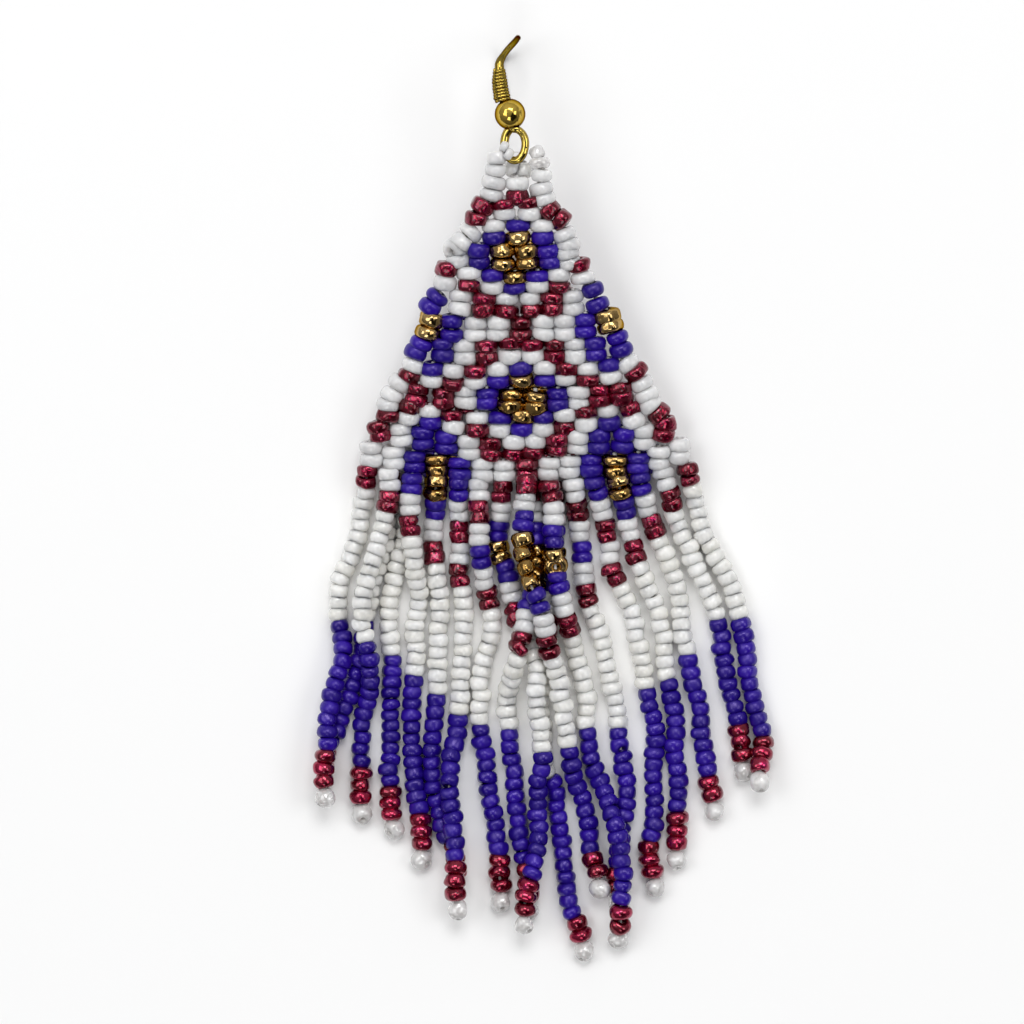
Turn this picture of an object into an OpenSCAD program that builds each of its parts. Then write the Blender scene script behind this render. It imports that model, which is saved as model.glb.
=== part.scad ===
// Beaded drop earring, lying face up on a flat surface.
// A wire hook carries a ball and a small loop. Two columns of white beads hang
// from the loop and open into a triangle of thirteen rows of paired beads.
// Nineteen strands of the same beads hang from the lowest row as a fringe.
// The piece lies in the X-Y plane: +Y runs towards the hook, +Z towards the viewer.
// The bent wire behind the hook holds the top of the triangle up, so the triangle
// is a shallow ramp and the fringe rests on the surface.

/* [Beads] */
// diameter of the beads in the triangle, mm
panel_bead_d = 2.08; // [1.8:0.01:2.1]
// diameter of the white and blue beads in the fringe, mm
fringe_bead_d = 1.9; // [1.6:0.01:2.0]
// diameter of the patterned beads at the top of each strand, mm
pattern_bead_d = 2.06; // [1.6:0.01:2.1]
// diameter of the red beads near the end of each strand, mm
red_bead_d = 1.98; // [1.6:0.01:2.1]
// diameter of the clear bead that ends each strand, mm
tip_bead_d = 2.04; // [1.6:0.01:2.1]
// free space between neighbouring beads on one thread, mm
bead_gap = 0.14; // [0.12:0.01:0.2]
// diameter of the thread bundle inside the beads, mm
thread_d = 0.5; // [0.2:0.05:0.7]

/* [Triangle] */
// slope of the triangle from the hook down to the fringe, degrees
ramp = 12; // [0:1:20]
// height of the middle of the lowest row above the surface, mm
low_row_z = 2.2; // [1.1:0.05:4]
// diameter of the thread that ties the pairs of a row together, mm
tie_d = 0.3; // [0.2:0.05:0.5]

/* [Fringe] */
// distance between the stations of the strand table along Y, mm
station = 3; // [2:0.5:5]

/* [Hook] */
// diameter of the hook wire, mm
wire_d = 0.6; // [0.5:0.05:0.9]
// outside diameter of the coil wound round the wire, mm
coil_d = 1.52; // [1.2:0.02:2]
// diameter of the wire that the coil is wound from, mm
coil_wire_d = 0.35; // [0.2:0.01:0.45]
// number of turns in the coil
coil_turns = 10; // [6:1:14]
// diameter of the ball, mm
ball_d = 2.8; // [2:0.1:4]
// diameter of the hole through the ball, mm
ball_bore_d = 1.3; // [0.8:0.1:1.6]
// height of the front wire above the surface, mm
front_z = 9.0; // [6:0.1:12]

/* [Hidden] */
$fn = 48;
white = [0.86, 0.86, 0.84];
blue = [0.24, 0.13, 0.60];
red = [0.52, 0.05, 0.22];
gold = [0.70, 0.52, 0.20];
clear = [0.80, 0.83, 0.86];
metal = [0.72, 0.56, 0.20];
function tint(k) = k == "W" ? white : k == "B" ? blue : k == "R" ? red : k == "G" ? gold : clear;

// the whole model is moved by this much, so that the origin is the middle of its base
shift = [0, -0.02, 0.01];

// rows of the triangle, from the top, one line per row: number of pairs, x of the
// first pair, x of the last pair, y of the row, rise of the first pair, rise of the
// last pair, outward lean of the first pair, outward lean of the last pair (degrees),
// kinds of the upper beads, kinds of the lower beads
ROWS = [
  [3, -5.05, 0.20, 30.40, 0.10, -0.10, 12, 8, "WWW", "WRW"],
  [4, -6.65, 1.15, 28.45, -0.10, -0.15, 25, 22, "RRRR", "RWWR"],
  [5, -7.85, 2.20, 26.25, -0.25, -0.15, 35, 5, "WWBWW", "WBGBW"],
  [6, -9.10, 2.35, 23.70, 0.00, 0.20, -7, 0, "WBGGBW", "WBGGBW"],
  [7, -9.70, 3.80, 21.50, 0.00, 0.30, -2, 0, "RWBGBWR", "WRWBWRW"],
  [8, -10.85, 5.20, 19.40, 0.00, 0.40, 30, 15, "BWRWWRWB", "BWRRRRWB"],
  [9, -11.40, 6.40, 16.65, 0.35, 0.75, 7, 10, "GBWWRWWBG", "GBWWRWWBG"],
  [10, -12.70, 7.70, 14.60, 0.40, 0.75, 25, 15, "BBWRRRRWBB", "BBWRWWRWBB"],
  [11, -13.15, 9.15, 11.85, 0.75, 1.00, 11, 38, "WBWRWBWRWBW", "RWRWBGBWRWR"],
  [12, -14.80, 9.95, 9.90, 0.95, 0.95, 29, 28, "WRRWBGGBWRRW", "WRRWBGGBWRRW"],
  [13, -16.05, 11.05, 7.65, 1.25, 1.30, 3, 38, "WRWRWBGBWRWRW", "RWBWRWBWRWBWR"],
  [14, -16.40, 12.00, 4.95, 1.65, 1.75, -6, -4, "RWBBWRWWRWBBWR", "RWBBWRRRRWBBWR"],
  [15, -17.05, 13.60, 2.95, 1.50, 1.80, 0, 0, "WWBGBWWRWWBGBWW", "WWBGBWWRWWBGBWW"]
];

// strands of the fringe, three lines per strand: kinds of the patterned beads, number
// of white, blue and red beads after them, y of the first bead, length along Y;
// then its x at each station down from the first bead;
// then its height where it changes, as distance down from the first bead and height:
// about 1 on the surface, 3 over one other strand and 4.6 over two
STRANDS = [
  ["RR", 12, 11, 3, 2.8, 32.4,
   [-17.6, -18, -18.4, -19.5, -20.5, -20.4, -20, -20.7, -21.4, -21.6, -21.8, -21.6],
   [[0, 2.2], [4, 1.05], [15, 1.1], [20, 2.3], [28, 3.05], [33, 3.15]]],
  ["WWRR", 12, 11, 3, 2.4, 33.7,
   [-15.4, -15.5, -16.2, -17.1, -18, -18, -17.4, -17.2, -18, -18.2, -18.3, -18.3, -18.3],
   [[0, 3.25], [6, 3], [17, 3], [24, 1.05]]],
  ["BBWWRR", 13, 12, 3, 2, 37.9,
   [-13.1, -13.3, -13.2, -12.8, -12.5, -12.8, -12.8, -13.1, -13.2, -13.2, -13, -12.5, -12.2, -12],
   [[0, 3.25], [5, 3.2], [13, 1.05]]],
  ["GGBBWWRR", 11, 12, 3, 1.7, 40.5,
   [-10.8, -10.8, -11, -10.8, -10.4, -10.6, -10.6, -10.8, -11, -11.2, -11, -10.4, -10.2, -9.6, -9.6],
   [[0, 2.2], [4, 1.05]]],
  ["BBWWRRWWRR", 11, 12, 3, 1.5, 42.2,
   [-8.6, -8.5, -8.4, -8.5, -8, -8, -8.2, -8.4, -8.6, -9.1, -9.4, -9.2, -8.9, -8.8, -8.7, -8.7],
   [[0, 2.2], [4, 1.05], [24, 1.05], [31, 2.55], [36, 2.7], [40, 3.2], [43, 2.6]]],
  ["WWRRWWBBWWRR", 10, 11, 3, 1.4, 41.5,
   [-6.4, -6.4, -6.4, -6, -5.4, -5.2, -6.2, -6.4, -6.4, -5.8, -5.6, -5, -4.6, -4.4, -4.4],
   [[0, 2.2], [6, 2.45], [12, 1.05]]],
  ["RRWWBBGGBBWWRR", 12, 11, 3, 1.3, 43.5,
   [-4.2, -4.4, -4.6, -3.6, -3.1, -2, -0.9, -0.8, -0.4, -0.2, -0.6, -0.7, -0.6, -1.4, -2, -2.1],
   [[0, 2.2], [4, 1.05], [14, 1.05], [19, 2.65], [27, 2.75], [33, 1.8], [39, 3.15], [45, 3.05]]],
  ["RRWWBBGGGGBBWWRR", 8, 9, 2, 1.2, 39.9,
   [-1.8, -2.1, -2.2, -1.6, -0.4, 0.2, 1, 1.7, 2.1, 2.6, 3.4, 4.3, 4.6, 5.4, 5.4],
   [[0, 3.25], [5, 4], [9, 4.5], [12, 4.7], [21, 2.5], [27, 2.1], [31, 1.05], [36, 1.05], [40, 2.15]]],
  ["RRWWBBGGBBWWRR", 8, 15, 2, 1.3, 45.1,
   [0.6, 1, 1, 1.2, 2, 2.8, 3.6, 4.2, 4.2, 4.7, 5.8, 6.8, 7.6, 7.8, 7.6, 7.5, 7.5],
   [[0, 3.25], [6, 3.65], [12, 2.95], [17, 1.05], [29, 1.05], [34, 3], [42, 3.15], [46, 1.1]]],
  ["WWRRWWBBWWRR", 11, 12, 2, 1.4, 41.6,
   [2.8, 3.4, 3.6, 3.9, 4.6, 5.6, 6.2, 7, 7.4, 7.7, 8.2, 8, 7.4, 7.2, 7.4],
   [[0, 2.2], [4, 1.05]]],
  ["BBWWRRWWRR", 9, 13, 3, 1.6, 40.3,
   [5, 5.8, 6.3, 6.9, 8.4, 9.1, 9.8, 10.2, 11, 11, 10.9, 11.1, 10.4, 10.9, 11],
   [[0, 2.2], [4, 1.05]]],
  ["GGBBWWRR", 10, 11, 3, 1.8, 37.7,
   [7.4, 8.1, 8.8, 9.7, 11, 11.8, 12, 12.6, 13.1, 13, 13.4, 13.3, 13.2, 13.2],
   [[0, 2.2], [4, 1.05]]],
  ["BBWWRR", 10, 10, 2, 2.1, 33.2,
   [9.6, 10.4, 11.4, 12.6, 13.4, 13.8, 14.3, 15, 15.6, 15.9, 16.4, 17, 17],
   [[0, 2.2], [4, 1.05]]],
  ["WWRR", 10, 9, 3, 2.6, 29.7,
   [11.8, 12.6, 13.8, 15, 16.4, 17.4, 17.8, 18.4, 19.2, 19.6, 20],
   [[0, 2.2], [5, 1.05]]],
  ["RR", 12, 10, 3, 3.0, 31.0,
   [14.2, 15, 15.8, 17.3, 18.6, 19.4, 20.2, 20.4, 21.1, 21.8, 21.4, 21.4],
   [[0, 2.2], [4, 1.05], [26, 1.05], [31, 2.8]]],
  ["RR", 11, 11, 3, 2.5, 32.5,
   [-15.2, -15.4, -15.8, -16.6, -17.3, -17.9, -18.3, -19.2, -20.2, -21, -21.5, -21.5],
   [[0, 1.05]]],
  ["WWRR", 12, 12, 3, 2.1, 35.0,
   [-13, -13.4, -13.8, -14.6, -15.3, -15.4, -15.1, -15.2, -15.3, -15.3, -15.4, -15.2, -14.9],
   [[0, 1.05]]],
  ["RRWWBBGGGGBBWWRR", 7, 11, 3, 1.3, 42.4,
   [-1.4, -1.1, -0.8, -1, -1.5, -2.2, -2.9, -3.7, -3.5, -3.2, -2.9, -2.6, -2.3, -1.6, -1.5, -1.5],
   [[0, 1.1], [1, 1.1], [7, 2.35], [10, 2.35], [16, 3.6], [22, 1.05]]],
  ["RRWWBBGGBBWWRR", 13, 11, 2, 1.3, 46.3,
   [0.8, 1.1, 1, 0.8, 0.6, 0.4, 0.4, 0.3, 0.6, 0.8, 1.2, 1.4, 1.8, 2.1, 2.6, 3.8, 3.9],
   [[0, 1.05]]]
];

// lengths along the thread of the bead kinds: patterned, white, blue, red, clear
function pitch_of(k) = k == "T" ? 1.10 : k == "W" ? 1.17 : k == "B" ? 1.165 : k == "R" ? 1.20 : 1.50;
function dia_of(k) = k == "T" ? pattern_bead_d : k == "R" ? red_bead_d : k == "C" ? tip_bead_d : fringe_bead_d;

// smooth curve through the stations of a list of values
function smooth(a, b, c, d, t) =
  0.5 * (2*b + (c - a)*t + (2*a - 5*b + 4*c - d)*t*t + (3*b - a - 3*c + d)*t*t*t);
function at(list, v) =
  let (n = len(list), i = max(0, min(floor(v / station), n - 2)), t = v / station - i)
  smooth(list[max(i - 1, 0)], list[i], list[i + 1], list[min(i + 2, n - 1)], t);
// height at the distance v, with an even slope in and out between the given places
function height(list, v, i = 0) =
  v <= list[0][0] ? list[0][1]
  : i >= len(list) - 1 ? list[i][1]
  : v <= list[i + 1][0]
    ? let (t = (v - list[i][0]) / (list[i + 1][0] - list[i][0]))
      list[i][1] + (list[i + 1][1] - list[i][1])*t*t*(3 - 2*t)
  : height(list, v, i + 1);
// point of a strand at the distance v down from its first bead
function strand_pt(s, v) = [at(s[6], v), s[4] - v, height(s[7], v)];

// sum of a list
function total(list, i = 0) = i >= len(list) ? 0 : list[i] + total(list, i + 1);
// kinds of all beads of a strand: patterned, white, blue, red, one clear
function kinds(s) = concat(
  [for (i = [0:1:len(s[0]) - 1]) "T"], [for (i = [1:1:s[1]]) "W"],
  [for (i = [1:1:s[2]]) "B"], [for (i = [1:1:s[3]]) "R"], ["C"]);
// the spacings between the beads of a strand before they are fitted to its length
function steps(k) = [for (i = [0:1:len(k) - 2]) (pitch_of(k[i]) + pitch_of(k[i + 1])) / 2];
// length of the strand's curve
function curve_len(s, n = 160) =
  total([for (i = [0:1:n - 1]) norm(strand_pt(s, s[5]*(i + 1)/n) - strand_pt(s, s[5]*i/n))]);
// place on the strand that lies the distance l further along the curve than v
function further(s, v, l, g, n) =
  n == 0 ? v + g : further(s, v, l, g * l / norm(strand_pt(s, v + g) - strand_pt(s, v)), n - 1);
// places of all beads
function places(s, st, f, i = 0, v = 0) =
  i >= len(st) ? [v] : concat([v], places(s, st, f, i + 1, further(s, v, st[i]*f, st[i], 4)));

// one bead: a short barrel with its hole along Z and its middle at the origin
module bead(d, h) {
  rotate_extrude()
    polygon([[0, -h/2], [0.28*d, -h/2], [0.5*d, -0.2*h], [0.5*d, 0.2*h], [0.28*d, h/2], [0, h/2]]);
}

// moves its child to p and turns its Z axis to the direction v
module along(p, v) {
  u = v / norm(v);
  translate(p) rotate([0, acos(u[2]), atan2(u[1], u[0])]) children();
}

// thread from a to b, with the length e left off at each end
module thread(a, b, d, e = 0) {
  u = (b - a) / norm(b - a);
  along(a + u*e, u) cylinder(d = d, h = norm(b - a) - 2*e, $fn = 24);
}

// one strand of the fringe, beads joined along their thread
module strand(n) {
  s = STRANDS[n - 1];
  k = kinds(s);
  st = steps(k);
  f = curve_len(s) / total(st);
  v = places(s, st, f);
  p = [for (w = v) strand_pt(s, w)];
  tops = s[0];
  last = len(k) - 1;
  for (i = [0:1:last]) {
    c = k[i] == "T" ? tops[i] : k[i];
    color(tint(c)) along(p[i], strand_pt(s, v[i] + 0.2) - strand_pt(s, v[i] - 0.2))
      bead(dia_of(k[i]), pitch_of(k[i])*f - bead_gap);
  }
  color(white) for (i = [0:1:last - 1]) thread(p[i], p[i + 1], thread_d, 0.32);
}

// middle of the pair j of the row i on the ramp
function pair_s(r, j) = -1 + 2*j / (r[0] - 1);
function pair_pt(r, j) =
  let (s = pair_s(r, j), y = r[3] + (s < 0 ? r[4] : r[5])*s*s)
  [r[1] + (r[2] - r[1])*j / (r[0] - 1), y, low_row_z + (y - ROWS[12][3])*tan(ramp)];
// direction of the thread through the pair, down towards the fringe
function pair_dir(r, j) =
  let (s = pair_s(r, j), lean = (s < 0 ? -r[6] : r[7])*pow(abs(s), 6))
  [sin(lean), -cos(lean)*cos(ramp), -cos(lean)*sin(ramp)];
// distance between the two beads of a pair, from the space to the rows above and below
function row_pitch(i) =
  min(i > 0 ? ROWS[i - 1][3] - ROWS[i][3] : 9, i < 12 ? ROWS[i][3] - ROWS[i + 1][3] : 9) / 2 / cos(ramp);

// one row of the triangle, pairs of beads tied side by side
module row(n) {
  r = ROWS[n - 1];
  q = row_pitch(n - 1);
  for (j = [0:1:r[0] - 1]) {
    c = pair_pt(r, j);
    u = pair_dir(r, j);
    color(tint(r[8][j])) along(c - u*q/2, u) bead(panel_bead_d, q - bead_gap);
    color(tint(r[9][j])) along(c + u*q/2, u) bead(panel_bead_d, q - bead_gap);
    color(white) thread(c - u*q/2, c + u*q/2, thread_d, 0.3);
    if (j > 0) color(white) thread(pair_pt(r, j - 1), c, tie_d, 0.14);
  }
}

// white beads over the triangle, one line per bead: x, y, z, diameter, length,
// then the direction of its hole
TOP = [
  [-4.90, 32.10, 8.35, 2.06, 0.95, -0.06, -1.00, -0.20],
  [-4.92, 33.20, 8.50, 1.80, 1.02, 0.10, -1.00, 0.00],
  [-3.92, 34.26, 9.20, 0.80, 0.62, 1.00, -0.45, 0.10],
  [-3.32, 33.88, 9.05, 0.76, 0.56, 1.00, -0.60, -0.35],
  [-0.75, 33.80, 7.90, 1.45, 1.00, 0.45, -1.00, 0.10],
  [-0.38, 32.78, 8.10, 2.06, 0.90, 0.15, -1.00, 0.00],
  [-0.10, 31.82, 8.25, 2.06, 0.90, 0.00, -1.00, -0.20]
];
function top_pt(i) = [TOP[i][0], TOP[i][1], TOP[i][2]];
// the thread dips under the right side of the wire loop on its way to the right column
dip = [-1.70, 33.75, 7.95];
// the thread loop of the top beads
module top_loop() {
  for (t = TOP) color(white) along([t[0], t[1], t[2]], [t[5], t[6], t[7]]) bead(t[3], t[4]);
  color(white) {
    for (i = [0, 1, 2, 4, 5]) thread(top_pt(i), top_pt(i + 1), tie_d, 0.1);
    thread(top_pt(3), dip, tie_d, 0);
    thread(dip, top_pt(4), tie_d, 0);
    translate(dip) sphere(d = tie_d + 0.02, $fn = 24);
  }
}

// the two beads that lie further back under the wire loop
module back_loop() {
  a = [-3.20, 32.40, 6.95];
  b = [-2.02, 32.25, 6.85];
  color(white) along(a, [0.35, -1, 0]) bead(1.10, 1.25);
  color(white) along(b, [-0.2, -1, 0]) bead(1.06, 1.30);
  color(white) thread(a, b, tie_d, 0.1);
}

// the bend of the hook, one line per point: x, y, angle round the bend
// (-90 behind on the surface, 90 in front)
ARC = [
  [-4.40, 43.06, -90],
  [-4.19, 43.90, -75],
  [-3.69, 44.57, -55],
  [-3.08, 45.18, -35],
  [-2.72, 45.47, -17],
  [-2.62, 45.47, 0],
  [-2.66, 45.28, 12],
  [-2.99, 44.69, 29],
  [-3.52, 43.93, 47],
  [-3.97, 43.19, 65],
  [-4.24, 42.61, 81],
  [-4.33, 42.02, 90]
];
// the wire after the coil, through the ball and once round the loop,
// one line per point: x, y, drop below the front wire
LOOP = [
  [-4.02, 38.61, 0.00],
  [-3.07, 36.22, 0.05],
  [-2.56, 36.00, 0.10],
  [-2.13, 35.60, 0.15],
  [-1.85, 34.95, 0.20],
  [-1.82, 34.26, 0.25],
  [-2.07, 33.56, 0.30],
  [-2.58, 33.09, 0.40],
  [-3.17, 33.05, 0.50],
  [-3.66, 33.40, 0.60],
  [-3.89, 33.98, 0.60],
  [-3.88, 34.65, 0.55],
  [-3.74, 35.35, 0.50],
  [-3.60, 35.76, 0.45]
];
// the straight back leg lies on the surface, from its cut end to the bend
leg_end = [-3.45, 37.40];
leg_z = wire_d/2;
function arc_pt(i) = [ARC[i][0], ARC[i][1], leg_z + (front_z - leg_z)*(1 + sin(ARC[i][2]))/2];
function loop_pt(i) = [LOOP[i][0], LOOP[i][1], front_z - LOOP[i][2]];
leg_a = [leg_end[0], leg_end[1], leg_z];
leg_b = arc_pt(0);
leg_u = (leg_b - leg_a) / norm(leg_b - leg_a);
bent = concat([leg_b - 0.3*leg_u], [for (i = [0:1:len(ARC) - 1]) arc_pt(i)],
  [for (i = [0:1:len(LOOP) - 1]) loop_pt(i)]);

// rings of points round a route, each turned as little as possible from the last
wire_sides = 16;
function unit(v) = v / norm(v);
function heading(p, i) = unit(p[min(i + 1, len(p) - 1)] - p[max(i - 1, 0)]);
function side(p, i, e) = let (t = heading(p, i), f = unit(e - t*(e*t))) i == 0 ? [f]
  : let (before = side(p, i - 1, e), g = before[len(before) - 1]) concat(before, [unit(g - t*(g*t))]);
module swept(p, d, e) {
  f = side(p, len(p) - 1, e);
  n = wire_sides;
  polyhedron(
    points = [for (i = [0:1:len(p) - 1], k = [0:1:n - 1])
      p[i] + d/2*(cos(360*k/n)*f[i] + sin(360*k/n)*cross(heading(p, i), f[i]))],
    faces = concat(
      [[for (k = [0:1:n - 1]) k]],
      [for (i = [0:1:len(p) - 2], k = [0:1:n - 1], h = [0, 1]) let (a = i*n + k, b = i*n + (k + 1)%n)
        h == 0 ? [a, a + n, b] : [b, a + n, b + n]],
      [[for (k = [n - 1:-1:0]) (len(p) - 1)*n + k]]));
}

// the hook wire: a round straight leg, and the bent rest of the wire swept from its end
module ear_wire() {
  color(metal) {
    along(leg_a, leg_u) cylinder(d = wire_d, h = norm(leg_b - leg_a));
    swept(bent, wire_d - 0.02, [0, 0, 1]);
  }
}

// the coil wound round the front wire: a sleeve with one ridge per turn
coil_a = arc_pt(len(ARC) - 1);
coil_b = loop_pt(0);
module wire_coil() {
  l = norm(coil_b - coil_a) - 0.1;
  t = l / coil_turns;
  ri = wire_d/2 + 0.06;
  ro = coil_d/2;
  g = coil_wire_d/4;
  color(metal) along(coil_a, coil_b - coil_a) rotate_extrude()
    polygon(concat([[ri, 0]],
      [for (i = [0:1:coil_turns - 1], q = [[ro - g, 0.02], [ro, 0.32], [ro, 0.68], [ro - g, 0.98]]) [q[0], (i + q[1])*t]],
      [[ri, l]]));
}

// the ball on the wire
ball_c = [-3.32, 37.48, front_z];
module ball_bead() {
  v = loop_pt(1) - loop_pt(0);
  color(metal) difference() {
    translate(ball_c) sphere(d = ball_d);
    along(ball_c - v, v) cylinder(d = ball_bore_d, h = 2*norm(v));
  }
}

translate(shift) ear_wire();
translate(shift) wire_coil();
translate(shift) ball_bead();
translate(shift) top_loop();
translate(shift) back_loop();
translate(shift) row(1);  // row_01
translate(shift) row(2);  // row_02
translate(shift) row(3);  // row_03
translate(shift) row(4);  // row_04
translate(shift) row(5);  // row_05
translate(shift) row(6);  // row_06
translate(shift) row(7);  // row_07
translate(shift) row(8);  // row_08
translate(shift) row(9);  // row_09
translate(shift) row(10);  // row_10
translate(shift) row(11);  // row_11
translate(shift) row(12);  // row_12
translate(shift) row(13);  // row_13
translate(shift) strand(1);  // strand_01
translate(shift) strand(2);  // strand_02
translate(shift) strand(3);  // strand_03
translate(shift) strand(4);  // strand_04
translate(shift) strand(5);  // strand_05
translate(shift) strand(6);  // strand_06
translate(shift) strand(7);  // strand_07
translate(shift) strand(8);  // strand_08
translate(shift) strand(9);  // strand_09
translate(shift) strand(10);  // strand_10
translate(shift) strand(11);  // strand_11
translate(shift) strand(12);  // strand_12
translate(shift) strand(13);  // strand_13
translate(shift) strand(14);  // strand_14
translate(shift) strand(15);  // strand_15
translate(shift) strand(16);  // under_strand_01
translate(shift) strand(17);  // under_strand_02
translate(shift) strand(18);  // under_strand_03
translate(shift) strand(19);  // under_strand_04
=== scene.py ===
import math
import bpy
import numpy as np
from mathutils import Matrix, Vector


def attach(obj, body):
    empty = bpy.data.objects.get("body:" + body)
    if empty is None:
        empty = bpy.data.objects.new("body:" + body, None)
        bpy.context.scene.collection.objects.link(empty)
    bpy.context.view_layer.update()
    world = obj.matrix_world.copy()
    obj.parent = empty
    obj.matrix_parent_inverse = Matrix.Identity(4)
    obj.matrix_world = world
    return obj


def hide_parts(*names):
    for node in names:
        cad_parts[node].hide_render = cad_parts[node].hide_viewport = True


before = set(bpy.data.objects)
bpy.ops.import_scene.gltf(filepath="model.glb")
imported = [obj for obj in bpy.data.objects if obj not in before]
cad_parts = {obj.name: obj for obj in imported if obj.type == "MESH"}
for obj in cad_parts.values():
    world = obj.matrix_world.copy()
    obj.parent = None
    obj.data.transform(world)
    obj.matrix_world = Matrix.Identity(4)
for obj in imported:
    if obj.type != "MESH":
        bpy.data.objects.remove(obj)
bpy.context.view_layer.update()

MM = 0.001

# ---------------------------------------------------------------- the part's own tables, in mm
# TABLES BEGIN
PANEL_D = 2.08
FRINGE_D = 1.9
PATTERN_D = 2.06
RED_D = 1.98
TIP_D = 2.04
RAMP = 12
LOW_ROW_Z = 2.2
STATION = 3
WIRE_D = 0.6
COIL_D = 1.52
COIL_WIRE_D = 0.35
BALL_D = 2.8
BALL_BORE_D = 1.3
FRONT_Z = 9
COIL_TURNS = 10
LEG_Z = WIRE_D / 2
SHIFT = [0, -0.02, 0.01]
BALL_C = [-3.32, 37.48, FRONT_Z]
LEG_END = [-3.45, 37.40]
DIP = [-1.70, 33.75, 7.95]
# rows of the triangle: pairs, x first, x last, y, rise first, rise last, lean first,
# lean last, kinds of the upper beads, kinds of the lower beads
ROWS = [
  [3, -5.05, 0.20, 30.40, 0.10, -0.10, 12, 8, "WWW", "WRW"],
  [4, -6.65, 1.15, 28.45, -0.10, -0.15, 25, 22, "RRRR", "RWWR"],
  [5, -7.85, 2.20, 26.25, -0.25, -0.15, 35, 5, "WWBWW", "WBGBW"],
  [6, -9.10, 2.35, 23.70, 0.00, 0.20, -7, 0, "WBGGBW", "WBGGBW"],
  [7, -9.70, 3.80, 21.50, 0.00, 0.30, -2, 0, "RWBGBWR", "WRWBWRW"],
  [8, -10.85, 5.20, 19.40, 0.00, 0.40, 30, 15, "BWRWWRWB", "BWRRRRWB"],
  [9, -11.40, 6.40, 16.65, 0.35, 0.75, 7, 10, "GBWWRWWBG", "GBWWRWWBG"],
  [10, -12.70, 7.70, 14.60, 0.40, 0.75, 25, 15, "BBWRRRRWBB", "BBWRWWRWBB"],
  [11, -13.15, 9.15, 11.85, 0.75, 1.00, 11, 38, "WBWRWBWRWBW", "RWRWBGBWRWR"],
  [12, -14.80, 9.95, 9.90, 0.95, 0.95, 29, 28, "WRRWBGGBWRRW", "WRRWBGGBWRRW"],
  [13, -16.05, 11.05, 7.65, 1.25, 1.30, 3, 38, "WRWRWBGBWRWRW", "RWBWRWBWRWBWR"],
  [14, -16.40, 12.00, 4.95, 1.65, 1.75, -6, -4, "RWBBWRWWRWBBWR", "RWBBWRRRRWBBWR"],
  [15, -17.05, 13.60, 2.95, 1.50, 1.80, 0, 0, "WWBGBWWRWWBGBWW", "WWBGBWWRWWBGBWW"]
]
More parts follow.
